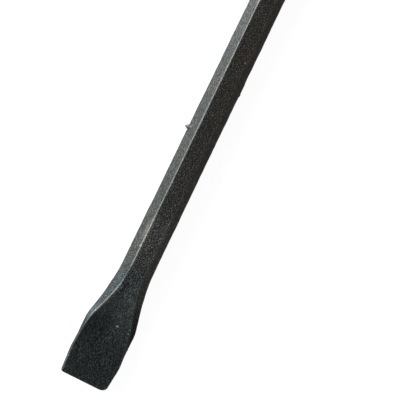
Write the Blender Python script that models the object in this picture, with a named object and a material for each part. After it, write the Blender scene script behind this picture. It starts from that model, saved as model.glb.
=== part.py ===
"""Spudger: the black prying stick of an electronics bench, moulded in one piece of filled nylon.

A six-sided shank spreads into a thin, straight-ended blade at +X. At -X it draws down
to a slim nose with a small hook cut into one side.
Units are metres. The tool lies on the flat under its shank, so Z = 0 is the bench,
X runs along the tool and Y across the blade. The mould parts on the shank's middle plane.
"""

import math

import bmesh
import bpy

# The whole tool
LENGTH = 0.146
RIDGE_REACH = 0.00024  # how far the rounding of a ridge reaches into the faces beside it
RIDGE_STEPS = 2

# Shank: a regular hexagon lying on a flat
ACROSS_FLATS = 0.0052
SHANK_HALF_HEIGHT = ACROSS_FLATS / 2
SHANK_HALF_WIDTH = ACROSS_FLATS / math.sqrt(3)
FACE_SHARE = 0.5  # a flat's share of the width over the corners

# Blade: distances run back from its straight end
BLADE_HALF_WIDTH = 0.00478
BLADE_END_HALF_WIDTH = 0.00452
BLADE_END_HALF_HEIGHT = 0.00030
BLADE_NARROWS_FROM = 0.0050
BLADE_CORNER_RADIUS = 0.0007
BLADE_EDGE_SLOPE = 0.00016  # how far the side edges slope in over half the blade's thickness
FACE_FULL_AT = 0.0080  # where the wide face has spread to the blade's sides
FACE_SPREADS_FROM = 0.0195  # where the wide face starts to spread
SHOULDER = 0.0113
SHOULDER_REACH = 0.0014  # how far the rounding of the shoulder reaches along the tool
SHOULDER_HALF_HEIGHT = 0.00085
THINS_FROM = 0.0175  # where the flare starts to thin down to the blade

# Flare between shank and blade: an arc tangent to the shank, then a straight slope
FLARE_ARC_RADIUS = 0.038
FLARE_ANGLE = math.radians(12.5)
FLARE_ARC_RISE = FLARE_ARC_RADIUS * (1 - math.cos(FLARE_ANGLE))
FLARE_ARC_RUN = FLARE_ARC_RADIUS * math.sin(FLARE_ANGLE)
FLARE_SLOPE_RISE = BLADE_HALF_WIDTH - SHANK_HALF_WIDTH - FLARE_ARC_RISE
FLARE_SLOPE_RUN = FLARE_SLOPE_RISE / math.tan(FLARE_ANGLE)
FLARE_START = SHOULDER + FLARE_SLOPE_RUN + FLARE_ARC_RUN

# Nose: distances run back from its tip
NOSE_BLUNT = 0.00004  # the point is blunt by this much
NOSE_LENGTH = 0.010
NECK = 0.011
NECK_HALF_WIDTH = 0.00155
NECK_HALF_HEIGHT = 0.00105
TAPER_START = 0.040

# Hook: a notch open to +Y, whose wall on the tip's side leans back over its floor
HOOK_FLOOR = 0.0058
HOOK_FLOOR_Y = 0.00045
HOOK_LIP_LEAN = 0.0008  # along the tool, from the floor to the lip
HOOK_RAMP_RUN = 0.0038  # along the tool, from the floor to the ramp's outer end
HOOK_FLOOR_REACH = 0.0004  # rounding of the floor
HOOK_STEPS = 4

# How many sections each stretch gets
NOSE_SECTIONS = 10
TAPER_SECTIONS = 12
FLARE_SECTIONS = 16
SHOULDER_SECTIONS = 6
BLADE_SECTIONS = 5
CORNER_SECTIONS = 6

PLASTIC_COLOUR = (0.020, 0.021, 0.021, 1.0)
PLASTIC_ROUGHNESS = 0.55
SMOOTH_UP_TO = math.radians(25)


def remove_everything():
    for thing in list(bpy.data.objects):
        bpy.data.objects.remove(thing)


def limited(share):
    return min(1.0, max(0.0, share))


def between(place, start, end, first, last):
    """A size that goes from first at start to last at end, level at both."""
    share = limited((place - start) / (end - start))
    return first + (last - first) * share * share * (3 - 2 * share)


def quarter_round(share):
    """The rise of a quarter circle: upright at 0, level at 1."""
    return math.sqrt(1 - (1 - limited(share)) ** 2)


def blade_end_half_width(back):
    """The last few millimetres, which narrow a little and end in rounded corners."""
    widening = quarter_round(back / BLADE_NARROWS_FROM)
    side = BLADE_END_HALF_WIDTH + (BLADE_HALF_WIDTH - BLADE_END_HALF_WIDTH) * widening
    return side - BLADE_CORNER_RADIUS * (1 - quarter_round(back / BLADE_CORNER_RADIUS))


def blade_half_width(back):
    """The outline from the straight end back to the shank."""
    if back < BLADE_NARROWS_FROM:
        return blade_end_half_width(back)
    if back < SHOULDER - SHOULDER_REACH:
        return BLADE_HALF_WIDTH
    if back < SHOULDER + SHOULDER_REACH:
        share = (back - SHOULDER + SHOULDER_REACH) / (2 * SHOULDER_REACH)
        return BLADE_HALF_WIDTH - SHOULDER_REACH * math.tan(FLARE_ANGLE) * share**2
    if back < SHOULDER + FLARE_SLOPE_RUN:
        return BLADE_HALF_WIDTH - (back - SHOULDER) * math.tan(FLARE_ANGLE)
    if back < FLARE_START:
        run = FLARE_START - back
        return SHANK_HALF_WIDTH + FLARE_ARC_RADIUS - math.sqrt(FLARE_ARC_RADIUS**2 - run**2)
    return SHANK_HALF_WIDTH


def blade_half_height(back):
    """Half the thickness: an even taper along the blade, then a smooth rise to the shank's."""
    if back < SHOULDER:
        growth = (SHOULDER_HALF_HEIGHT - BLADE_END_HALF_HEIGHT) / SHOULDER
        return BLADE_END_HALF_HEIGHT + growth * back
    return between(back, SHOULDER, THINS_FROM, SHOULDER_HALF_HEIGHT, SHANK_HALF_HEIGHT)


def blade_edge_slope(back):
    """How much wider the tool is at mid height than at its wide face."""
    share = limited((back - FACE_FULL_AT) / (FACE_SPREADS_FROM - FACE_FULL_AT))
    shank_slope = SHANK_HALF_WIDTH * (1 - FACE_SHARE)
    return BLADE_EDGE_SLOPE + (shank_slope - BLADE_EDGE_SLOPE) * (1 - (1 - share) ** 2)


def blade_sizes(back):
    """Half width, half width of the flat and half height, measured back from the blade's end."""
    half_width = blade_half_width(back)
    return half_width, half_width - blade_edge_slope(back), blade_half_height(back)


def nose_sizes(back):
    """The same three sizes, measured back from the nose's tip."""
    nose = quarter_round(back / NOSE_LENGTH)
    half_width = nose * between(back, NECK, TAPER_START, NECK_HALF_WIDTH, SHANK_HALF_WIDTH)
    half_height = nose * between(back, NECK, TAPER_START, NECK_HALF_HEIGHT, SHANK_HALF_HEIGHT)
    return half_width, half_width * FACE_SHARE, half_height


def rounded(corners, reach, steps):
    """A closed outline with each corner turned into a short curve."""
    outline = []
    for index, corner in enumerate(corners):
        ends = []
        for other in (corners[index - 1], corners[(index + 1) % len(corners)]):
            side = math.dist(corner, other)
            share = min(reach, side / 3) / side
            ends.append([a + (b - a) * share for a, b in zip(corner, other)])
        for step in range(steps + 1):
            t = step / steps
            near, mid, far = (1 - t) ** 2, 2 * t * (1 - t), t**2
            outline.append([near * a + mid * b + far * c for a, b, c in zip(ends[0], corner, ends[1])])
    return outline


def section(x):
    """The tool's outline at x, as points in space."""
    sizes = nose_sizes(x + LENGTH / 2) if x < 0 else blade_sizes(LENGTH / 2 - x)
    half_width, face_half, half_height = sizes
    corners = (
        (half_width, 0),
        (face_half, half_height),
        (-face_half, half_height),
        (-half_width, 0),
        (-face_half, -half_height),
        (face_half, -half_height),
    )
    return [(x, y, z + SHANK_HALF_HEIGHT) for y, z in rounded(corners, RIDGE_REACH, RIDGE_STEPS)]


def spaced(start, end, count):
    """count places from start on, the last one short of end."""
    return [start + (end - start) * step / count for step in range(count)]


def nose_stations():
    """Where the sections stand from the nose's tip to the shank, closest together at the tip."""
    first = math.sqrt(NOSE_BLUNT / NOSE_LENGTH)
    backs = [NOSE_LENGTH * share**2 for share in spaced(first, 1, NOSE_SECTIONS)]
    backs += spaced(NOSE_LENGTH, TAPER_START, TAPER_SECTIONS)
    backs += [TAPER_START]
    return [back - LENGTH / 2 for back in backs]


def blade_stations():
    """Where the sections stand from the shank to the blade's end, closest together at its corners."""
    backs = spaced(FLARE_START, SHOULDER + SHOULDER_REACH, FLARE_SECTIONS)
    backs += spaced(SHOULDER + SHOULDER_REACH, SHOULDER - SHOULDER_REACH, SHOULDER_SECTIONS)
    backs += spaced(SHOULDER - SHOULDER_REACH, BLADE_NARROWS_FROM, BLADE_SECTIONS)
    backs += spaced(BLADE_NARROWS_FROM, BLADE_CORNER_RADIUS, BLADE_SECTIONS)
    for step in range(CORNER_SECTIONS + 1):
        turn = math.pi / 2 * step / CORNER_SECTIONS
        backs.append(BLADE_CORNER_RADIUS * (1 - math.sin(turn)))
    return [LENGTH / 2 - back for back in backs]


def plastic():
    material = bpy.data.materials.new("black_filled_nylon")
    material.use_nodes = True
    shader = material.node_tree.nodes["Principled BSDF"]
    shader.inputs["Base Color"].default_value = PLASTIC_COLOUR
    shader.inputs["Roughness"].default_value = PLASTIC_ROUGHNESS
    shader.inputs["Metallic"].default_value = 0.0
    return material


def add_object(name, shape):
    """An object made from a bmesh, which is used up."""
    bmesh.ops.recalc_face_normals(shape, faces=shape.faces)
    mesh = bpy.data.meshes.new(name)
    shape.to_mesh(mesh)
    shape.free()
    made = bpy.data.objects.new(name, mesh)
    bpy.context.scene.collection.objects.link(made)
    return made


def stick():
    """The whole tool before its hook is cut: one skin over its sections, closed at both ends."""
    shape = bmesh.new()
    places = nose_stations() + blade_stations()
    loops = [[shape.verts.new(point) for point in section(x)] for x in places]
    for near, far in zip(loops, loops[1:]):
        for index in range(len(near)):
            shape.faces.new((near[index - 1], near[index], far[index], far[index - 1]))
    shape.faces.new(loops[0])
    shape.faces.new(loops[-1])
    return add_object("spudger_body", shape)


def hook_cutter():
    """A prism that cuts the hook's notch through the nose from top to bottom."""
    depth = NECK_HALF_WIDTH - HOOK_FLOOR_Y
    overshoot = 2.5  # the cutter's sides run on past the nose by this many times the depth
    floor_x = HOOK_FLOOR - LENGTH / 2
    mouth_y = HOOK_FLOOR_Y + depth * overshoot
    outline = (
        (floor_x, HOOK_FLOOR_Y),
        (floor_x + HOOK_RAMP_RUN * overshoot, mouth_y),
        (floor_x + HOOK_LIP_LEAN * overshoot, mouth_y),
    )
    shape = bmesh.new()
    points = rounded(outline, HOOK_FLOOR_REACH, HOOK_STEPS)
    face = shape.faces.new([shape.verts.new((x, y, 0)) for x, y in points])
    grown = bmesh.ops.extrude_face_region(shape, geom=[face])
    raised = [item for item in grown["geom"] if isinstance(item, bmesh.types.BMVert)]
    bmesh.ops.translate(shape, verts=raised, vec=(0, 0, ACROSS_FLATS))
    cutter = add_object("hook_cutter", shape)
    cutter.hide_render = True
    cutter.display_type = "WIRE"
    return cutter


def main():
    remove_everything()
    body = stick()
    body.data.materials.append(plastic())
    body.data.shade_smooth()
    body.data.set_sharp_from_angle(angle=SMOOTH_UP_TO)
    hook = body.modifiers.new("hook", "BOOLEAN")
    hook.operation = "DIFFERENCE"
    hook.solver = "EXACT"
    hook.object = hook_cutter()


main()
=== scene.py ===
"""The looks of the spudger: a worn black stick of filled nylon on a pale floor.

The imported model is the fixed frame. One detailed skin stands for its single node.
Units are metres. X runs along the tool to the blade's end, Y across the blade, Z up.
Places on the blade and shank are given as distances back from the blade's end.
"""

import math

import bmesh
import bpy
import numpy as np
from mathutils import Matrix, Vector, noise


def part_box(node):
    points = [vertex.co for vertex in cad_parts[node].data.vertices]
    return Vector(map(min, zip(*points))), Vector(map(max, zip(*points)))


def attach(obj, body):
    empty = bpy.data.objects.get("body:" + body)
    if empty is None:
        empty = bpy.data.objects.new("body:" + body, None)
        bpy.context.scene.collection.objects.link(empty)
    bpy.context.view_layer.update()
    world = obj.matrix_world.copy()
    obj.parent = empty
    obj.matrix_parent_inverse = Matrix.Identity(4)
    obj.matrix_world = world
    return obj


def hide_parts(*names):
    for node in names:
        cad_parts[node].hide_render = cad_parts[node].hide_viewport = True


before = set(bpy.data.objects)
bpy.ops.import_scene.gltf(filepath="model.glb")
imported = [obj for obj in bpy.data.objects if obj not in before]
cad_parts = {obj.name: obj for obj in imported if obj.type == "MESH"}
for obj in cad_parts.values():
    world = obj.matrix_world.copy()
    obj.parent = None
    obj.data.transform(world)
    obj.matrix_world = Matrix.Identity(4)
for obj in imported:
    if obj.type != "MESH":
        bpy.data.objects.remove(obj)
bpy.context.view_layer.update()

MM = 0.001
NODE = "spudger_body"

# What the frame gives
NODE_LOW, NODE_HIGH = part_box(NODE)
NOSE_TIP_X = NODE_LOW.x
BLADE_END_X = NODE_HIGH.x
TOOL_LENGTH = BLADE_END_X - NOSE_TIP_X
MID_Z = (NODE_LOW.z + NODE_HIGH.z) / 2

LEFT, RIGHT = -1, 1
LOWER, UPPER = -1, 1

# Shank: a hexagonal bar. The blade's half of the tool is where X is above 0.
SHANK_HALF_HEIGHT = (NODE_HIGH.z - NODE_LOW.z) / 2
SHANK_HALF_WIDTH = SHANK_HALF_HEIGHT * 2 / math.sqrt(3)
FACE_SHARE = 0.517
SHANK_FACET_WIDTH = SHANK_HALF_WIDTH * (1 - FACE_SHARE)
WORN_RIDGE_REACH = 0.18 * MM
RIDGE_REACH = 0.12 * MM
RIDGE_REACH_VARIES_BY = 0.4
RIDGE_REACH_WAVE = 4 * MM
RIDGE_REACH_SEED = 3.1
PARTING_REACH = 0.20 * MM

# Blade
SHOULDER = 11.5 * MM
SHOULDER_REACH = 0.9 * MM
SHOULDER_HALF_WIDTH = NODE_HIGH.y + 0.03 * MM
SHOULDER_HALF_HEIGHT = 0.85 * MM
RISE_END = 17.5 * MM
WAIST = 7.6 * MM
WAIST_HALF_WIDTH = SHOULDER_HALF_WIDTH - 0.10 * MM
BULGE = 4.8 * MM
BULGE_HALF_WIDTH = SHOULDER_HALF_WIDTH + 0.03 * MM
END_HALF_WIDTH = {LEFT: 4.52 * MM, RIGHT: 4.24 * MM}
END_HALF_HEIGHT = 0.30 * MM
END_ROUNDING = 0.10 * MM
END_NARROWS_POWER = 0.85
CORNER_RADIUS = {LEFT: 0.40 * MM, RIGHT: 1.00 * MM}
BLADE_RIDGE_REACH = 0.08 * MM
RIDGE_CRISP_AT = 8.5 * MM
RIDGE_ROUND_FROM = 12 * MM
BLADE_FACET_WIDTH = 0.20 * MM
FACE_FULL_AT = 8.3 * MM
FACE_SPREADS_FROM = 18.0 * MM
FACE_SPREAD_POWER = {LEFT: 1.6, RIGHT: 2.4}
FLARE_FACET_WIDTH = {LEFT: 1.50 * MM, RIGHT: 1.60 * MM}

# Flare
FLARE_ARC_RADIUS = 38 * MM
FLARE_ANGLE = math.radians(12.5)
FLARE_ARC_RISE = FLARE_ARC_RADIUS * (1 - math.cos(FLARE_ANGLE))
FLARE_ARC_RUN = FLARE_ARC_RADIUS * math.sin(FLARE_ANGLE)
FLARE_SLOPE_RISE = SHOULDER_HALF_WIDTH - SHANK_HALF_WIDTH - FLARE_ARC_RISE
FLARE_SLOPE_RUN = FLARE_SLOPE_RISE / math.tan(FLARE_ANGLE)
FLARE_START = SHOULDER + FLARE_SLOPE_RUN + FLARE_ARC_RUN
# Where the left side departs from that: back, half its length
LEFT_FLARE_HOLLOW = (14.3 * MM, 4.5 * MM)
LEFT_FLARE_HOLLOW_DEPTH = 0.12 * MM
LEFT_BULGE = (28.5 * MM, 8 * MM)
LEFT_BULGE_WIDTH = 0.055 * MM
LEFT_FACET_NARROWING = (15.2 * MM, 3.6 * MM)
LEFT_FACET_NARROWS_BY = 0.17 * MM

# The valley that is pressed into both wide faces where the flare runs into the blade
VALLEY = (12.5 * MM, 8.5 * MM)  # back, half its length
VALLEY_DEPTH = 0.42 * MM
VALLEY_ASIDE = -0.40 * MM  # where its deepest line lies
VALLEY_POWER = 1.1

# Nose and hook, measured from the nose's tip
NOSE_BLUNT = 0.03 * MM
NOSE_LENGTH = 10 * MM
NECK = 11 * MM
NECK_HALF_WIDTH = 1.55 * MM
NECK_HALF_HEIGHT = 1.05 * MM
TAPER_START = 40 * MM
HOOK_FLOOR = 5.8 * MM
HOOK_FLOOR_Y = 0.45 * MM
HOOK_LIP_LEAN = 0.8 * MM
HOOK_RAMP_RUN = 3.8 * MM
HOOK_FLOOR_REACH = 0.4 * MM
HOOK_OVERSHOOT = 2.5  # how far the cutter reaches out, in notch depths

# How finely the skin is divided. Corners and faces count round from the right edge, over the top.
UPPER_LEFT = 2
FACE_STEPS = (12, 28, 12, 12, 28, 12)
ROUNDING_STEPS = 6
ROUNDED_SHARE_LIMIT = 1 / 3  # of the side next to a corner
ARC_WEIGHT = math.cos(math.radians(30))  # makes the rounding of a hexagon's corner a true arc
HOOK_ROUNDING_STEPS = 8
NOSE_STEPS = 30
CORNER_STEPS = 16
EDGE_STEPS = 6
LONG_STEP = 0.5 * MM
BLADE_STEP = 0.16 * MM
FINE_STEP = 0.08 * MM
FINE_REACH = 1.5 * MM
SLIVER = 0.003 * MM
SHARP_ANGLE = math.radians(40)
TINY = 1e-12  # keeps a division by a length of 0 harmless

# Unevenness of the skin, from smooth noise
SKIN_FRACTAL = (1.0, 2.1)  # how fast finer octaves fade, and how much finer each is
LINE_FRACTAL = (1.0, 2.0)
WAVE_SIZE = 7 * MM
WAVE_DEPTH = 0.018 * MM
RIPPLE_SIZE = 1.3 * MM
RIPPLE_DEPTH = 0.004 * MM
FLASH_HEIGHT = 0.045 * MM
FLASH_SIZE = 3 * MM
FLASH_MEAN = 0.35
FLASH_SWING = 1.3
FLASH_SHARPNESS = 3
FLASH_SEED = 20.0
EDGE_NICK_SIZE = 0.55 * MM
EDGE_NICK_DEPTH = 0.20 * MM
EDGE_NICK_SEED = 40.0
EDGE_NICKS_FADE_IN = 2 * MM
RIDGE_NICK_SIZE = 1.4 * MM
RIDGE_NICK_DEPTH = 0.07 * MM
RIDGE_NICK_THRESHOLD = 0.15
SMOOTH_ENDS = 0.8 * MM

# Marks of use and moulding, with a highlight and a glint painted along the lit upper left ridge: each
# is at a distance back from the blade's end
LUMPS = (  # on an outer edge: back, half its length, height, side
    (49.73 * MM, 0.52 * MM, 0.64 * MM, LEFT),
    (59.25 * MM, 0.45 * MM, 0.12 * MM, RIGHT),
    (60.3 * MM, 2.4 * MM, 0.08 * MM, RIGHT),
)
LUMP_RISE = 1.0 * MM  # how far a lump spreads up and down
FACET_HOLLOW = (20.4 * MM, 3.5 * MM)
FACET_HOLLOW_DEPTH = 0.05 * MM
# Where the upper left ridge is rounder or crisper: back, half its length, the change in reach
ROUNDER_STRETCHES = (
    (29.5 * MM, 3.5 * MM, 0.6),
    (15.0 * MM, 5.5 * MM, 0.7),
    (20.4 * MM, 2.6 * MM, -0.85),
)
EVEN_WEAR = 0.55
EVEN_WEAR_REACH = 0.20 * MM
BLADE_WEAR_REACH = 0.14 * MM
WIDER_WEAR = (29.5 * MM, 3.5 * MM)
WIDER_WEAR_BY = 1.2
# Where a highlight is painted along the lit upper left ridge, as extra pale wear colour: back, half its
# length, how much more
LIT_RIDGE_PAINTED_HIGHLIGHT = (
    (15.0 * MM, 5.5 * MM, 3.8),
    (25.5 * MM, 6.5 * MM, 1.7),
)
# Partly pale scratches, partly a painted highlight that widens the lit ridge's highlight onto the facet
SCRAPE_AND_HIGHLIGHT = (29.2 * MM, 2.8 * MM)  # on the facet, along the same ridge
SCRAPE_AND_HIGHLIGHT_BESIDE = 0.30 * MM
SCRAPE_AND_HIGHLIGHT_REACH = 0.22 * MM
SCRAPE_AND_HIGHLIGHT_WEAR = 2.2
EDGE_WEAR = 0.22
EDGE_WEAR_REACH = 0.7 * MM
BLADE_END_WEAR_REACH = 0.12 * MM
SPOTS = (  # pale spots: back, aside and radius in mm, then strength
    (11.39, 1.10, 0.20, 0.80),
    (10.98, 3.44, 0.17, 0.55),
    (11.78, 3.38, 0.14, 0.45),
    # This spot sits on the lit upper left ridge and is a painted glint, not a mark
    (25.89, -1.58, 0.30, 0.50),
    (49.73, -3.45, 0.70, 0.60),
    (4.40, 1.60, 0.20, 0.10),
    (64.44, 1.10, 0.24, 0.36),
    (53.07, -0.19, 0.22, 0.24),
)
POCK = (11.45 * MM, 0.90 * MM, 0.45 * MM)  # back, aside, radius
POCK_DEPTH = 0.07 * MM
EJECTOR_BACKS = (44 * MM, 92 * MM)
EJECTOR_RADIUS = 1.1 * MM
EJECTOR_DEPTH = 0.07 * MM
EJECTOR_STEEPNESS = 6
DISH_STEEPNESS = 1.5

# Camera: where it aims, and how it leans, in the tool's frame
CAMERA_DISTANCE = 0.400
CAMERA_PITCH = math.radians(12.0)
CAMERA_LEAN = math.radians(6.68)
CAMERA_ROLL = math.radians(25.60)
CAMERA_AIM_BACK = 38.66 * MM
CAMERA_AIM_ASIDE = 4.72 * MM
CAMERA_LENS = 200.2
CAMERA_SENSOR = 36.0
CAMERA_NEAREST = 0.01

# Light
COOL_LIGHT = (0.86, 1.0, 1.05)
WARM_LIGHT = (1.0, 0.97, 0.93)
# How the world's strength changes: axis, the two directions along it, the strength at each
WORLD_FADES = (
    ("Y", -0.4, -1.0, 0.14, 0.76),
    ("Z", 0.3, 0.9, 1.0, 0.50),
    ("X", -1.0, 1.0, 0.5, 1.5),
)
WORLD_TINT_FADE = ("Y", 0.2, -0.7, 0, 1)  # from the warm colour to the cool one
# name, azimuth from +X towards +Y, elevation, distance, width, height, radiance, colour
SOFTBOXES = (
    ("strip", -102, 30, 0.8, 0.60, 0.42, 11.2, COOL_LIGHT),
    ("wall", -100, 8, 0.9, 0.90, 0.25, 1.1, COOL_LIGHT),
    ("card", -125, 2, 0.13, 0.09, 0.05, 9.5, COOL_LIGHT),
    ("fill", -35, 50, 0.8, 0.30, 0.30, 2.0, COOL_LIGHT),
    ("back", 50, 25, 0.8, 0.40, 0.26, 2.5, WARM_LIGHT),
)

# Floor and backdrop
FLOOR_HALF_SIZE = 1.5
FLOOR_GAP = 0.03 * MM
FLOOR_GREY = 0.2
FLOOR_GLOW = 0.94
BACKDROP_RADIUS = 1.4
BACKDROP_HEIGHT = 2.0
BACKDROP_SIDES = 64
BACKDROP_GREY = 0.0
BACKDROP_GLOW = 1.0

# Colours, linear
BROWN_BLACK = (0.0182, 0.0143, 0.0114, 1)
GREY_BLACK = (0.0208, 0.0194, 0.0176, 1)
BLUE_BLACK = (0.0177, 0.0182, 0.0181, 1)
GREEN_BLACK = (0.0014, 0.0022, 0.0019, 1)
SPOT_GREY = (0.30, 0.31, 0.30, 1)
TOP_PATCH_GREY = (0.046, 0.043, 0.039, 1)
# Pale colours of worn ridges and edges; along the lit upper left ridge they also paint a highlight
WORN_AND_HIGHLIGHT_BEIGE = (0.158, 0.131, 0.102, 1)
WORN_AND_HIGHLIGHT_GREY = (0.128, 0.128, 0.118, 1)
SPECK_GREY = (0.046, 0.051, 0.049, 1)

# Material: lengths are in mm, and a change starts at one distance back and ends at another
NOISE_SPAN = (0.3, 0.7)  # where the noise node's values mostly lie
SHANK_COOLS = (48, 22)
FLARE_BEGINS = (24, 18)
BLADE_BEGINS = (16, 10)
TOP_PATCH_BACK = 28
TOP_PATCH_FADES = (3.0, 6.5)
TOP_PATCH_SIZE = 0.9
TOP_PATCH_STRENGTH = 0.65
TOP_FACE = (4.7, 5.1)  # heights, where the patch on the top comes in
WEAR_AND_HIGHLIGHT_PATCH = 0.4
WEAR_AND_HIGHLIGHT_RANGE = (0.35, 1.3)
WEAR_AND_HIGHLIGHT_STRENGTH = 0.48
GRAIN_SIZE = 0.2
MOTTLE_SIZE = 1.6
MOTTLE_RANGE = (0.85, 1.15)
SPECK_CONTRAST = 3.0
SPECK_GAIN = 5.4
SPECK_GROUND = 0.12
BLADE_SPECK_CONTRAST = 5.0
SPOT_CORE = 0.4
GLOSS_PATCH = 0.3
ROUGHNESS_RANGE = (0.34, 0.46)
FLARE_ROUGHER_BY = 0.03
POLISH_FULL_AT = 1.2
POLISH_STRENGTH = 0.09
DENT_SIZE = 0.8
RELIEF_DEPTH = 0.022 * MM
WORN_RELIEF = 0.2


# ---------------------------------------------------------------- sizes along the tool

def limited(share):
    return np.clip(share, 0.0, 1.0)


def between(place, start, end, first, last):
    """A size that goes from first at start to last at end, level at both."""
    share = limited((place - start) / (end - start))
    return first + (last - first) * share * share * (3 - 2 * share)


def swell(place, stretch):
    """1 at the stretch's centre, falling smoothly to 0 half its length to either side."""
    centre, half_length = stretch
    return limited(1 - ((place - centre) / half_length) ** 2) ** 2


def swells(place, rows):
    """The sum of several swells, each a row of centre, half its length and size."""
    return sum(size * swell(place, (centre, half_length)) for centre, half_length, size in rows)


def quarter_round(share):
    """The rise of a quarter circle: upright at 0, level at 1."""
    return np.sqrt(1 - (1 - limited(share)) ** 2)


def end_rounding(back):
    """How much the blade's end is cut back all round, so that its edge is rounded."""
    return END_ROUNDING * (1 - quarter_round(back / END_ROUNDING))


def blade_side(back, side):
    """Half the blade's width: a slight waist, a slight bulge, then in towards the end."""
    waist = between(back, WAIST, SHOULDER, WAIST_HALF_WIDTH, SHOULDER_HALF_WIDTH)
    bulge = between(back, BULGE, WAIST, BULGE_HALF_WIDTH, WAIST_HALF_WIDTH)
    narrowing = limited(back / BULGE) ** END_NARROWS_POWER
    end = END_HALF_WIDTH[side] + (BULGE_HALF_WIDTH - END_HALF_WIDTH[side]) * narrowing
    return np.where(back > WAIST, waist, np.where(back > BULGE, bulge, end))


def blade_half_width(back, side):
    """Half the width on one side, from the flare's start to the blade's end."""
    tan = math.tan(FLARE_ANGLE)
    share = limited((back - SHOULDER + SHOULDER_REACH) / (2 * SHOULDER_REACH))
    shoulder = blade_side(back, side) - SHOULDER_REACH * tan * share**2
    slope = SHOULDER_HALF_WIDTH - (back - SHOULDER) * tan
    run = np.clip(FLARE_START - back, 0, FLARE_ARC_RUN)
    arc = SHANK_HALF_WIDTH + FLARE_ARC_RADIUS - np.sqrt(FLARE_ARC_RADIUS**2 - run**2)
    stretches = [back < SHOULDER + SHOULDER_REACH, back < SHOULDER + FLARE_SLOPE_RUN]
    width = np.select(stretches, [shoulder, slope], arc)
    if side == LEFT:
        width = width - LEFT_FLARE_HOLLOW_DEPTH * swell(back, LEFT_FLARE_HOLLOW)
        width = width + LEFT_BULGE_WIDTH * swell(back, LEFT_BULGE)
    radius = CORNER_RADIUS[side]
    corner = radius * (1 - quarter_round(back / radius))
    return width - corner - end_rounding(back)


def blade_half_height(back):
    """Half the height: a thin wedge to the shoulder, then up to the shank."""
    growth = (SHOULDER_HALF_HEIGHT - END_HALF_HEIGHT) / SHOULDER
    blade = END_HALF_HEIGHT + growth * back - end_rounding(back)
    rise = between(back, SHOULDER, RISE_END, SHOULDER_HALF_HEIGHT, SHANK_HALF_HEIGHT)
    return np.where(back < SHOULDER, blade, rise)


def facet_width(back, side):
    """Width of the sloping facets, seen from above: wide on the flare, narrow on the blade."""
    share = limited((back - FACE_FULL_AT) / (FACE_SPREADS_FROM - FACE_FULL_AT))
    spread = 1 - (1 - share) ** FACE_SPREAD_POWER[side]
    full = between(back, FACE_SPREADS_FROM, FLARE_START, FLARE_FACET_WIDTH[side], SHANK_FACET_WIDTH)
    width = BLADE_FACET_WIDTH + (full - BLADE_FACET_WIDTH) * spread
    if side == LEFT:
        width = width - LEFT_FACET_NARROWS_BY * swell(back, LEFT_FACET_NARROWING)
    return width


def nose_half(from_tip, neck_half, shank_half):
    """Half the nose's width or height: blunt at the tip, and swelling into the shank."""
    taper = between(from_tip, NECK, TAPER_START, neck_half, shank_half)
    return quarter_round(from_tip / NOSE_LENGTH) * taper


def half_width(x, side):
    blade = blade_half_width(BLADE_END_X - x, side)
    return np.where(x > 0, blade, nose_half(x - NOSE_TIP_X, NECK_HALF_WIDTH, SHANK_HALF_WIDTH))


def half_height(x):
    blade = blade_half_height(BLADE_END_X - x)
    return np.where(x > 0, blade, nose_half(x - NOSE_TIP_X, NECK_HALF_HEIGHT, SHANK_HALF_HEIGHT))


def face_half_width(x, side):
    width = half_width(x, side)
    return np.where(x > 0, width - facet_width(BLADE_END_X - x, side), width * FACE_SHARE)


def wander(places, size, seed, octaves=3):
    """Smooth noise about 0 along a line of places."""
    points = [Vector((place / size, seed, 0)) for place in places]
    return np.array([noise.fractal(point, *LINE_FRACTAL, octaves) for point in points])


def stations():
    """Where the sections are along X: closer on the blade, and at the short marks."""
    first = math.sqrt(NOSE_BLUNT / NOSE_LENGTH)
    nose = NOSE_LENGTH * np.linspace(first, 1, NOSE_STEPS, endpoint=False) ** 2
    shank = np.arange(NOSE_LENGTH, TOOL_LENGTH - FLARE_START, LONG_STEP)
    radius = CORNER_RADIUS[RIGHT]
    blade = np.arange(TOOL_LENGTH - FLARE_START, TOOL_LENGTH - radius, BLADE_STEP)
    turns = np.linspace(0, math.pi / 2, CORNER_STEPS, endpoint=False)
    corner = radius - (radius - END_ROUNDING) * np.sin(turns)
    edge = END_ROUNDING * (1 - np.sin(np.linspace(0, math.pi / 2, EDGE_STEPS)))
    from_tip = np.concatenate([nose, shank, blade, TOOL_LENGTH - corner, TOOL_LENGTH - edge])
    short_lumps = [back for back, half_length, *_ in LUMPS if half_length < FINE_REACH]
    for back in (*short_lumps, *EJECTOR_BACKS):
        middle = TOOL_LENGTH - back
        fine = np.arange(middle - FINE_REACH, middle + FINE_REACH, FINE_STEP)
        from_tip = np.concatenate([from_tip[np.abs(from_tip - middle) > FINE_REACH], fine])
    return NOSE_TIP_X + np.sort(from_tip)


# ---------------------------------------------------------------- the skin

def corner_lines(x):
    """The six corners of the sections: right edge, two ridges above, left edge, two ridges below."""
    right = half_width(x, RIGHT)
    left = half_width(x, LEFT)
    right_face = face_half_width(x, RIGHT)
    left_face = face_half_width(x, LEFT)
    height = half_height(x)
    level = np.zeros_like(x)
    above = [(right, level), (right_face, height), (-left_face, height)]
    below = [(-left, level), (-left_face, -height), (right_face, -height)]
    return [np.stack(corner, axis=1) for corner in above + below]


def is_parting(index):
    """Whether a corner is an outer edge, on the mould's parting line. The others are ridges."""
    return index % 3 == 0


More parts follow.
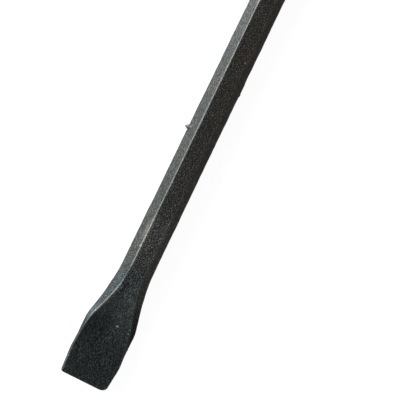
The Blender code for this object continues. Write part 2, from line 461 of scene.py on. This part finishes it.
def rounding_reach(x, index):
    """How far a corner's rounding reaches: worn round on the shank, crisp on the blade."""
    if is_parting(index):
        return np.full_like(x, PARTING_REACH)
    back = BLADE_END_X - x
    full = WORN_RIDGE_REACH if index == UPPER_LEFT else RIDGE_REACH
    reach = between(back, RIDGE_CRISP_AT, RIDGE_ROUND_FROM, BLADE_RIDGE_REACH, full)
    reach *= 1 + RIDGE_REACH_VARIES_BY * wander(x, RIDGE_REACH_WAVE, RIDGE_REACH_SEED * index)
    if index == UPPER_LEFT:
        reach *= 1 + swells(back, ROUNDER_STRETCHES)
    return reach


def rounding_ends(x, corners, index):
    """Where the rounding of a corner starts and stops, on the faces to either side of it."""
    corner = corners[index]
    ends = []
    for other in (corners[index - 1], corners[(index + 1) % 6]):
        side = np.linalg.norm(other - corner, axis=1)
        share = np.minimum(rounding_reach(x, index) / side, ROUNDED_SHARE_LIMIT)
        ends.append(corner + (other - corner) * share[:, None])
    return ends


def skin_grid(x):
    """The skin as sections by places round the tool, and how near each place is to the middle
    of a parting edge and of a ridge."""
    corners = corner_lines(x)
    ends = [rounding_ends(x, corners, index) for index in range(6)]
    columns, parting, ridges = [], [], []
    for index, (start, stop) in enumerate(ends):
        for t in np.linspace(0, 1, ROUNDING_STEPS + 1):
            near, middle, far = (1 - t) ** 2, 2 * t * (1 - t) * ARC_WEIGHT, t**2
            total = near + middle + far
            columns.append((near * start + middle * corners[index] + far * stop) / total)
            parting.append(math.sin(math.pi * t) * is_parting(index))
            ridges.append(math.sin(math.pi * t) * (not is_parting(index)))
        following = ends[(index + 1) % 6][0]
        for t in np.linspace(0, 1, FACE_STEPS[index] + 1)[1:-1]:
            columns.append(stop + (following - stop) * t)
            parting.append(0.0)
            ridges.append(0.0)
    across = np.stack(columns, axis=1)
    along = np.broadcast_to(x[:, None, None], across.shape[:2] + (1,))
    return np.concatenate([along, across], axis=2), np.array(parting), np.array(ridges)


def press_valley(grid, x):
    """Presses the two wide faces in along their middle, as a shallow valley."""
    along = swell(BLADE_END_X - x, VALLEY)[:, None]
    left, right = (face_half_width(x, side)[:, None] - side * VALLEY_ASIDE for side in (LEFT, RIGHT))
    aside = grid[..., 1] - VALLEY_ASIDE
    across = limited(1 - np.abs(aside / np.where(aside > 0, right, left)) ** VALLEY_POWER)
    grid[..., 2] -= np.sign(grid[..., 2]) * VALLEY_DEPTH * along * across


def outward(grid):
    """Unit normals of the grid, pointing out of the tool."""
    along = np.gradient(grid, axis=0)
    around = np.roll(grid, -1, axis=1) - np.roll(grid, 1, axis=1)
    normal = np.cross(around, along)
    normal /= np.maximum(np.linalg.norm(normal, axis=2, keepdims=True), TINY)
    centre = grid.mean(axis=1, keepdims=True)
    return normal * np.sign((normal * (grid - centre)).sum())


def noise_over(grid, size, octaves):
    """Smooth noise about 0 at each point of the grid."""
    points = grid.reshape(-1, 3) / size
    values = [noise.fractal(Vector(point), *SKIN_FRACTAL, octaves) for point in points]
    return np.array(values).reshape(grid.shape[:2])


def lump(grid, stretch, side):
    """1 on the outer edge at the stretch's centre, falling smoothly to 0 along it, above and below."""
    along = swell(BLADE_END_X - grid[..., 0], stretch)
    return along * swell(grid[..., 2], (0, LUMP_RISE)) * (np.sign(grid[..., 1]) == side)


def facet_hollow(grid, x):
    """1 along the middle of the upper left facet, where it is slightly hollow."""
    up = limited(grid[..., 2] / half_height(x)[:, None])
    on_facet = grid[..., 1] < -face_half_width(x, LEFT)[:, None]
    return swell(BLADE_END_X - x, FACET_HOLLOW)[:, None] * 4 * up * (1 - up) * on_facet


def dish(grid, back, aside, radius, side):
    """1 in the middle of a round dish in the upper or lower half, 0 from its radius outwards."""
    away = np.hypot(BLADE_END_X - back - grid[..., 0], grid[..., 1] - aside)
    return limited(DISH_STEEPNESS * (1 - away / radius)) * (np.sign(grid[..., 2]) == side)


def moulded_height(grid, x, parting):
    """How far each point stands proud from moulding: waves, flash, lumps and shallow hollows."""
    height = WAVE_DEPTH * noise_over(grid, WAVE_SIZE, octaves=2)
    height += RIPPLE_DEPTH * noise_over(grid, RIPPLE_SIZE, octaves=3)
    ragged = wander(x, FLASH_SIZE, FLASH_SEED, octaves=4)
    flash = FLASH_HEIGHT * limited(FLASH_MEAN + FLASH_SWING * ragged)
    height += flash[:, None] * parting**FLASH_SHARPNESS
    for back, half_length, lump_height, side in LUMPS:
        height += lump_height * lump(grid, (back, half_length), side)
    height -= FACET_HOLLOW_DEPTH * facet_hollow(grid, x)
    for back in EJECTOR_BACKS:
        mark = dish(grid, back, 0, EJECTOR_RADIUS, LOWER)
        height -= EJECTOR_DEPTH * limited(EJECTOR_STEEPNESS * mark)
    return height


def worn_depth(grid, x, parting, ridges):
    """How deep use has marked each point: nicks along the right edge and ridges, and the pock."""
    on_blade = limited((SHOULDER - (BLADE_END_X - x)) / EDGE_NICKS_FADE_IN)
    bitten = np.abs(wander(x, EDGE_NICK_SIZE, EDGE_NICK_SEED, octaves=2))
    nicks = EDGE_NICK_DEPTH * on_blade * bitten
    depth = nicks[:, None] * parting * (grid[..., 1] > 0)
    ridge_nicks = limited(noise_over(grid, RIDGE_NICK_SIZE, octaves=3) - RIDGE_NICK_THRESHOLD)
    depth += RIDGE_NICK_DEPTH * ridges * ridge_nicks
    return depth + POCK_DEPTH * dish(grid, *POCK, UPPER)


def unevenness(grid, x, parting, ridges):
    """How far each point stands proud of the ideal shape. The ends stay smooth."""
    height = moulded_height(grid, x, parting) - worn_depth(grid, x, parting, ridges)
    to_end = np.minimum(x - NOSE_TIP_X, BLADE_END_X - x)
    return height * limited(to_end / SMOOTH_ENDS)[:, None]


def grid_mesh(name, grid):
    """A closed mesh of the grid's sections, with a face on each end."""
    sections, around = grid.shape[:2]
    index = np.arange(sections * around).reshape(sections, around)
    following = np.roll(index, -1, axis=1)
    quads = np.stack([index[:-1], following[:-1], following[1:], index[1:]], axis=2)
    faces = quads.reshape(-1, 4).tolist()
    faces.append(index[0][::-1].tolist())
    faces.append(index[-1].tolist())
    mesh = bpy.data.meshes.new(name)
    mesh.from_pydata((grid.reshape(-1, 3) + (0, 0, MID_Z)).tolist(), [], faces)
    return mesh


def add_object(name, data):
    made = bpy.data.objects.new(name, data)
    bpy.context.scene.collection.objects.link(made)
    return made


def face_outward(mesh):
    shape = bmesh.new()
    shape.from_mesh(mesh)
    bmesh.ops.recalc_face_normals(shape, faces=shape.faces)
    shape.to_mesh(mesh)
    shape.free()


def prism(name, outline, low, high):
    """A solid whose outline in X and Y is the same from low to high."""
    shape = bmesh.new()
    face = shape.faces.new([shape.verts.new((x, y, low)) for x, y in outline])
    grown = bmesh.ops.extrude_face_region(shape, geom=[face])
    raised = [item for item in grown["geom"] if isinstance(item, bmesh.types.BMVert)]
    bmesh.ops.translate(shape, verts=raised, vec=(0, 0, high - low))
    mesh = bpy.data.meshes.new(name)
    shape.to_mesh(mesh)
    shape.free()
    face_outward(mesh)
    return add_object(name, mesh)


def rounded(corners, reach, steps):
    """A closed outline with each corner turned into a short curve."""
    outline = []
    for index, corner in enumerate(corners):
        ends = []
        for other in (corners[index - 1], corners[(index + 1) % len(corners)]):
            side = math.dist(corner, other)
            share = min(reach / side, ROUNDED_SHARE_LIMIT)
            ends.append([a + (b - a) * share for a, b in zip(corner, other)])
        for t in np.linspace(0, 1, steps + 1):
            near, mid, far = (1 - t) ** 2, 2 * t * (1 - t), t**2
            outline.append([near * a + mid * b + far * c for a, b, c in zip(ends[0], corner, ends[1])])
    return outline


def cut(body, cutter):
    """Cuts the cutter's shape out of the body, then removes the cutter."""
    step = body.modifiers.new("cut", "BOOLEAN")
    step.operation = "DIFFERENCE"
    step.solver = "EXACT"
    step.object = cutter
    depsgraph = bpy.context.evaluated_depsgraph_get()
    changed = bpy.data.meshes.new_from_object(body.evaluated_get(depsgraph))
    body.modifiers.clear()
    body.data = changed
    bpy.data.objects.remove(cutter)


def drop_slivers(mesh):
    """Merges the points that lie closer than anything meant, and drops what that leaves flat."""
    shape = bmesh.new()
    shape.from_mesh(mesh)
    bmesh.ops.remove_doubles(shape, verts=shape.verts, dist=SLIVER)
    bmesh.ops.dissolve_degenerate(shape, edges=shape.edges, dist=SLIVER)
    shape.to_mesh(mesh)
    shape.free()


def hook_cutter():
    """The hook's notch, drawn on past the tool's side."""
    floor_x = NOSE_TIP_X + HOOK_FLOOR
    mouth_y = HOOK_FLOOR_Y + (NECK_HALF_WIDTH - HOOK_FLOOR_Y) * HOOK_OVERSHOOT
    corners = (
        (floor_x, HOOK_FLOOR_Y),
        (floor_x + HOOK_RAMP_RUN * HOOK_OVERSHOOT, mouth_y),
        (floor_x + HOOK_LIP_LEAN * HOOK_OVERSHOOT, mouth_y),
    )
    outline = rounded(corners, HOOK_FLOOR_REACH, HOOK_ROUNDING_STEPS)
    return prism("hook_cutter", outline, 0, 2 * MID_Z)


def bell(away, reach):
    """1 at 0, falling off with distance like a bell curve."""
    return np.exp(-((away / reach) ** 2))


def wear_and_highlight_at(x, y, z):
    """How worn each point is, on the ridges, outer edges and blade's end, plus a painted highlight:
    extra pale colour on the lit upper left ridge alone.
    """
    back = BLADE_END_X - x
    upper_left = (y < 0) * (z > MID_Z)
    face = np.where(y > 0, face_half_width(x, RIGHT), face_half_width(x, LEFT))
    edge = np.where(y > 0, half_width(x, RIGHT), half_width(x, LEFT))
    aside = np.abs(y) - face
    from_ridge = np.hypot(aside, np.abs(z - MID_Z) - half_height(x))
    reach = between(back, RIDGE_CRISP_AT, RIDGE_ROUND_FROM, BLADE_WEAR_REACH, EVEN_WEAR_REACH)
    reach *= 1 + WIDER_WEAR_BY * swell(back, WIDER_WEAR)
    # The even part is wear on every ridge; the extra on the upper left ridge is a painted highlight
    # where the light falls on it
    ridges = bell(from_ridge, reach) * (EVEN_WEAR + swells(back, LIT_RIDGE_PAINTED_HIGHLIGHT) * upper_left)
    # The scrape is partly pale scratches and partly a painted highlight beside the lit ridge
    scrape_and_highlight = SCRAPE_AND_HIGHLIGHT_WEAR * swell(back, SCRAPE_AND_HIGHLIGHT) * bell(aside - SCRAPE_AND_HIGHLIGHT_BESIDE, SCRAPE_AND_HIGHLIGHT_REACH)
    edges = EDGE_WEAR * bell(edge - np.abs(y), EDGE_WEAR_REACH)
    edges *= between(back, SHOULDER, FLARE_START, 0, 1)
    blade_end = limited(1 - back / BLADE_END_WEAR_REACH)
    return np.maximum.reduce([ridges, scrape_and_highlight * upper_left, edges, blade_end])


def mark_wear_and_highlight(mesh):
    """Stores how worn each point is, with the painted highlight along the lit upper left ridge, for the
    material.
    """
    points = np.empty(len(mesh.vertices) * 3)
    mesh.vertices.foreach_get("co", points)
    wear_and_highlight = wear_and_highlight_at(*points.reshape(-1, 3).T)
    mesh.attributes.new("wear_and_highlight", "FLOAT", "POINT").data.foreach_set("value", wear_and_highlight)


# ---------------------------------------------------------------- material

class Shading:
    """Adds nodes to a material and links them, so that a layer takes a line or two.

    place is where a point is, back its distance from the blade's end and z its height, in mm.
    """

    def __init__(self, material):
        material.use_nodes = True
        self.tree = material.node_tree
        self.shader = self.tree.nodes["Principled BSDF"]
        place = self.add("ShaderNodeTexCoord").outputs["Object"]
        self.place = self.scaled(place, (1 / MM, 1 / MM, 1 / MM))
        x, _, self.z = self.add("ShaderNodeSeparateXYZ", Vector=self.place).outputs
        self.back = self.math("SUBTRACT", BLADE_END_X / MM, x)

    def add(self, kind, **inputs):
        node = self.tree.nodes.new(kind)
        for name, value in inputs.items():
            self.put(node.inputs[name.replace("_", " ")], value)
        return node

    def put(self, socket, value):
        if isinstance(value, bpy.types.NodeSocket):
            self.tree.links.new(value, socket)
        else:
            socket.default_value = value

    def noise(self, size, detail, low=0.0, high=1.0):
        """Noise whose features are about size mm across, from low to high. Detail is in octaves."""
        grain = self.add("ShaderNodeTexNoise", Vector=self.place, Scale=1 / size, Detail=detail)
        return self.remap(grain.outputs["Fac"], *NOISE_SPAN, low, high)

    def scaled(self, place, scale):
        return self.add("ShaderNodeMapping", Vector=place, Scale=scale).outputs["Vector"]

    def remap(self, value, start, end, low=0.0, high=1.0):
        node = self.add(
            "ShaderNodeMapRange", Value=value, From_Min=start, From_Max=end, To_Min=low, To_Max=high
        )
        return node.outputs["Result"]

    def math(self, operation, a, b=0.0):
        node = self.tree.nodes.new("ShaderNodeMath")
        node.operation = operation
        self.put(node.inputs[0], a)
        self.put(node.inputs[1], b)
        return node.outputs[0]

    def distance(self, place, middle):
        node = self.tree.nodes.new("ShaderNodeVectorMath")
        node.operation = "DISTANCE"
        self.put(node.inputs[0], place)
        self.put(node.inputs[1], middle)
        return node.outputs["Value"]

    def mix(self, factor, a, b, blend="MIX"):
        node = self.tree.nodes.new("ShaderNodeMix")
        node.data_type = "RGBA"
        node.blend_type = blend
        self.put(node.inputs["Factor"], factor)
        self.put(node.inputs["A"], a)
        self.put(node.inputs["B"], b)
        return node.outputs["Result"]


def ground_colour(look):
    """Black: brownish and then greyer on the shank, bluish on the flare, greenish on the blade."""
    colour = look.mix(look.remap(look.back, *SHANK_COOLS), BROWN_BLACK, GREY_BLACK)
    colour = look.mix(look.remap(look.back, *FLARE_BEGINS), colour, BLUE_BLACK)
    return look.mix(look.remap(look.back, *BLADE_BEGINS), colour, GREEN_BLACK)


def lighter_top_patch(look, colour):
    """A lighter, blotchy patch on the top of the shank, just above the flare."""
    away = look.math("ABSOLUTE", look.math("SUBTRACT", look.back, TOP_PATCH_BACK))
    near = look.remap(away, *TOP_PATCH_FADES, 1, 0)
    on_top = look.remap(look.z, *TOP_FACE)
    patch = look.math("MULTIPLY", near, on_top)
    patch = look.math("MULTIPLY", patch, look.noise(TOP_PATCH_SIZE, 3.0))
    return look.mix(look.math("MULTIPLY", patch, TOP_PATCH_STRENGTH), colour, TOP_PATCH_GREY)


def grained(look, colour, grain):
    """Pale specks on a darker ground, mottled over a wider scale."""
    specks = look.math("MULTIPLY", look.math("POWER", grain, SPECK_CONTRAST), SPECK_GAIN)
    mottle = look.noise(MOTTLE_SIZE, 3.0, *MOTTLE_RANGE)
    tint = look.math("MULTIPLY", look.math("ADD", specks, SPECK_GROUND), mottle)
    tint_colour = look.add("ShaderNodeCombineXYZ", X=tint, Y=tint, Z=tint).outputs[0]
    return look.mix(1.0, colour, tint_colour, "MULTIPLY")


def spotted(look, colour, grain):
    """Finer specks on the blade, then the single spots, one of which is a painted glint on the lit
    ridge.
    """
    blade = look.remap(look.back, *BLADE_BEGINS)
    specks = look.math("MULTIPLY", look.math("POWER", grain, BLADE_SPECK_CONTRAST), blade)
    colour = look.mix(specks, colour, SPECK_GREY)
    seen_from_above = look.scaled(look.place, (1, 1, 0))
    for back, aside, radius, strength in SPOTS:
        away = look.distance(seen_from_above, (BLADE_END_X / MM - back, aside, 0))
        spot = look.remap(away, radius * SPOT_CORE, radius, strength, 0.0)
        colour = look.mix(spot, colour, SPOT_GREY)
    return colour


def roughness(look, worn_and_highlight):
    """Uneven gloss, a little duller on the flare and polished where it is worn and where the lit
    ridge's highlight is painted.
    """
    flare = look.remap(look.back, *FLARE_BEGINS)
    rough = look.noise(GLOSS_PATCH, 2.0, *ROUGHNESS_RANGE)
    rough = look.math("ADD", rough, look.math("MULTIPLY", flare, FLARE_ROUGHER_BY))
    polish = look.math("MULTIPLY", look.math("MINIMUM", worn_and_highlight, POLISH_FULL_AT), POLISH_STRENGTH)
    return look.math("SUBTRACT", rough, polish)


def relief(look, grain, wear_and_highlight):
    """The grain's fine relief, smoothed where it is worn and where the lit ridge's highlight is
    painted.
    """
    height = look.math("ADD", grain, look.noise(DENT_SIZE, 2.0))
    strength = look.remap(wear_and_highlight, 0.0, 1.0, 1.0, WORN_RELIEF)
    bump = look.add("ShaderNodeBump", Strength=strength, Distance=RELIEF_DEPTH, Height=height)
    return bump.outputs["Normal"]


def plastic():
    material = bpy.data.materials.new("black_filled_nylon")
    look = Shading(material)
    grain = look.noise(GRAIN_SIZE, 0.0)
    attribute = look.add("ShaderNodeAttribute")
    attribute.attribute_name = "wear_and_highlight"
    wear_and_highlight = attribute.outputs["Fac"]
    worn_and_highlight = look.math("MULTIPLY", wear_and_highlight, look.noise(WEAR_AND_HIGHLIGHT_PATCH, 3.0, *WEAR_AND_HIGHLIGHT_RANGE))
    worn_and_highlight_colour = look.mix(look.remap(look.back, *FLARE_BEGINS), WORN_AND_HIGHLIGHT_BEIGE, WORN_AND_HIGHLIGHT_GREY)

    colour = grained(look, lighter_top_patch(look, ground_colour(look)), grain)
    # Pale wear colour on ridges, edges and the blade's end; on the lit upper left ridge it is also a
    # painted highlight
    colour = look.mix(look.math("MULTIPLY", worn_and_highlight, WEAR_AND_HIGHLIGHT_STRENGTH), colour, worn_and_highlight_colour)
    look.put(look.shader.inputs["Base Color"], spotted(look, colour, grain))
    look.put(look.shader.inputs["Roughness"], roughness(look, worn_and_highlight))
    look.put(look.shader.inputs["Normal"], relief(look, grain, wear_and_highlight))
    return material


# ---------------------------------------------------------------- camera, light, floor

def add_camera():
    data = bpy.data.cameras.new("camera")
    data.lens = CAMERA_LENS
    data.sensor_width = CAMERA_SENSOR
    data.clip_start = CAMERA_NEAREST
    camera = add_object("camera", data)
    aim = Vector((BLADE_END_X - CAMERA_AIM_BACK, CAMERA_AIM_ASIDE, MID_Z))
    towards = Vector((math.tan(CAMERA_PITCH), -math.tan(CAMERA_LEAN), 1.0)).normalized()
    right = (-towards).cross(Vector((-1, 0, 0))).normalized()
    up = towards.cross(right)
    turn = Matrix((right, up, towards)).transposed() @ Matrix.Rotation(CAMERA_ROLL, 3, "Z")
    camera.matrix_world = Matrix.Translation(aim + towards * CAMERA_DISTANCE) @ turn.to_4x4()
    bpy.context.scene.camera = camera


def add_softbox(name, azimuth, elevation, distance, width, height, radiance, colour):
    """A rectangular light that faces the tool."""
    data = bpy.data.lights.new(name, "AREA")
    data.shape = "RECTANGLE"
    data.size, data.size_y = width, height
    data.energy = radiance * math.pi * width * height
    data.color = colour
    light = add_object(name, data)
    turn, lift = math.radians(azimuth), math.radians(elevation)
    towards = Vector((math.cos(lift) * math.cos(turn), math.cos(lift) * math.sin(turn), math.sin(lift)))
    aim = Vector((BLADE_END_X - CAMERA_AIM_BACK, 0, MID_Z))
    light.location = aim + towards * distance
    light.rotation_mode = "QUATERNION"
    light.rotation_quaternion = towards.to_track_quat("Z", "Y")
    light.visible_camera = False


def dull_material(name, grey, glow):
    """A surface without gloss that also gives off white light."""
    material = bpy.data.materials.new(name)
    material.use_nodes = True
    shader = material.node_tree.nodes["Principled BSDF"]
    shader.inputs["Base Color"].default_value = (grey, grey, grey, 1)
    shader.inputs["Roughness"].default_value = 1.0
    shader.inputs["Specular IOR Level"].default_value = 0.0
    shader.inputs["Emission Color"].default_value = (1, 1, 1, 1)
    shader.inputs["Emission Strength"].default_value = glow
    return material


def add_shape(name, shape, material):
    """Turns a bmesh shape into an object, with one material."""
    mesh = bpy.data.meshes.new(name)
    shape.to_mesh(mesh)
    shape.free()
    mesh.materials.append(material)
    return add_object(name, mesh)


def add_floor():
    shape = bmesh.new()
    bmesh.ops.create_grid(shape, x_segments=1, y_segments=1, size=FLOOR_HALF_SIZE)
    floor = add_shape("floor", shape, dull_material("pale_floor", FLOOR_GREY, FLOOR_GLOW))
    floor.location.z = NODE_LOW.z - FLOOR_GAP
    floor.visible_glossy = False


def add_backdrop():
    """A white wall round the floor, which only the camera sees."""
    shape = bmesh.new()
    ends = {"radius1": BACKDROP_RADIUS, "radius2": BACKDROP_RADIUS}
    bmesh.ops.create_cone(shape, segments=BACKDROP_SIDES, depth=BACKDROP_HEIGHT, **ends)
    material = dull_material("white_backdrop", BACKDROP_GREY, BACKDROP_GLOW)
    backdrop = add_shape("backdrop", shape, material)
    for rays in ("diffuse", "glossy", "transmission", "volume_scatter", "shadow"):
        setattr(backdrop, "visible_" + rays, False)


def world_fade(nodes, links, split, axis, start, end, low, high):
    """Goes smoothly from low to high between two directions along an axis."""
    fade = nodes.new("ShaderNodeMapRange")
    fade.interpolation_type = "SMOOTHSTEP"
    links.new(split.outputs[axis], fade.inputs["Value"])
    for name, limit in (("From Min", start), ("From Max", end), ("To Min", low), ("To Max", high)):
        fade.inputs[name].default_value = limit
    return fade.outputs["Result"]


def add_world():
    """A dim room: brighter, and cooler in colour, on the main softbox's side."""
    world = bpy.data.worlds.new("studio")
    bpy.context.scene.world = world
    world.use_nodes = True
    nodes, links = world.node_tree.nodes, world.node_tree.links
    split = nodes.new("ShaderNodeSeparateXYZ")
    links.new(nodes.new("ShaderNodeTexCoord").outputs["Generated"], split.inputs["Vector"])
    strength = nodes["Background"].inputs["Strength"]
    for fade in WORLD_FADES:
        product = nodes.new("ShaderNodeMath")
        product.operation = "MULTIPLY"
        product.inputs[0].default_value = 1.0
        links.new(world_fade(nodes, links, split, *fade), product.inputs[1])
        links.new(product.outputs[0], strength)
        strength = product.inputs[0]
    tint = nodes.new("ShaderNodeMix")
    tint.data_type = "RGBA"
    links.new(world_fade(nodes, links, split, *WORLD_TINT_FADE), tint.inputs["Factor"])
    tint.inputs["A"].default_value = WARM_LIGHT + (1,)
    tint.inputs["B"].default_value = COOL_LIGHT + (1,)
    links.new(tint.outputs["Result"], nodes["Background"].inputs["Color"])


def build_skin():
    """Builds the one visible piece and ties it to the frame's node."""
    x = stations()
    grid, parting, ridges = skin_grid(x)
    press_valley(grid, x)
    grid = grid + outward(grid) * unevenness(grid, x, parting, ridges)[..., None]
    body = add_object("spudger_body_skin", grid_mesh("spudger_body_skin", grid))
    face_outward(body.data)
    cut(body, hook_cutter())
    drop_slivers(body.data)
    body.data.shade_smooth()
    body.data.set_sharp_from_angle(angle=SHARP_ANGLE)
    mark_wear_and_highlight(body.data)
    body.data.materials.clear()
    body.data.materials.append(plastic())
    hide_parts(NODE)
    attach(body, "root")


add_camera()
build_skin()
add_floor()
add_backdrop()
add_world()
for softbox in SOFTBOXES:
    add_softbox(*softbox)
bpy.context.scene.view_settings.view_transform = "Standard"
